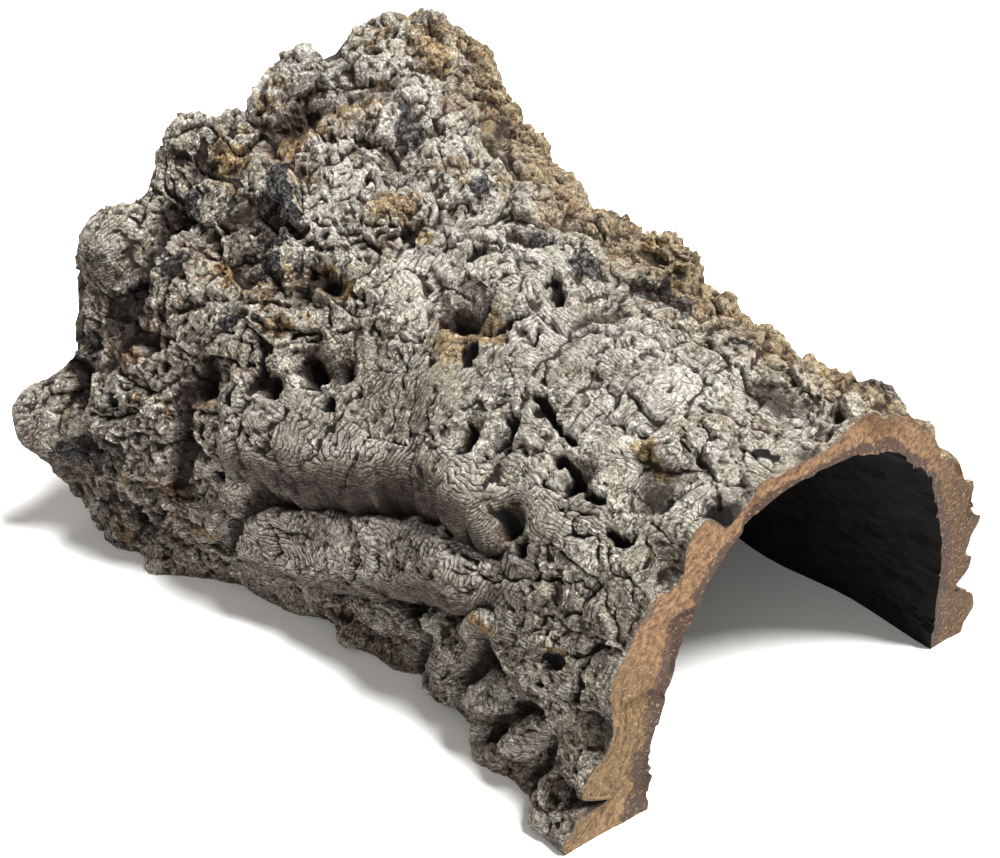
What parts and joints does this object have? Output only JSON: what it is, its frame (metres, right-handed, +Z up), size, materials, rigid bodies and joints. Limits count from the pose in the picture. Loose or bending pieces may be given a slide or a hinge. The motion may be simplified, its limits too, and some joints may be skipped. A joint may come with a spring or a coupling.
{
  "type": "cork bark cave",
  "caption": "Half-round arch of natural virgin cork bark, open at both ends, standing on two flat-cut base edges, for use as a hide in a terrarium.",
  "frame": {"origin": "middle of the bounding box, on the surface that the two base edges stand on", "axes": "+X along the tunnel towards the sawn front, +Y towards the far wall, +Z up"},
  "size_m": [0.3211, 0.3324, 0.2304],
  "materials": {
    "cork_bark": "dry, matte, rough grey bark; brown where it is sawn"
  },
  "bodies": {
    "root": {"cork_bark": "cork_bark"}
  },
  "joints": []
}
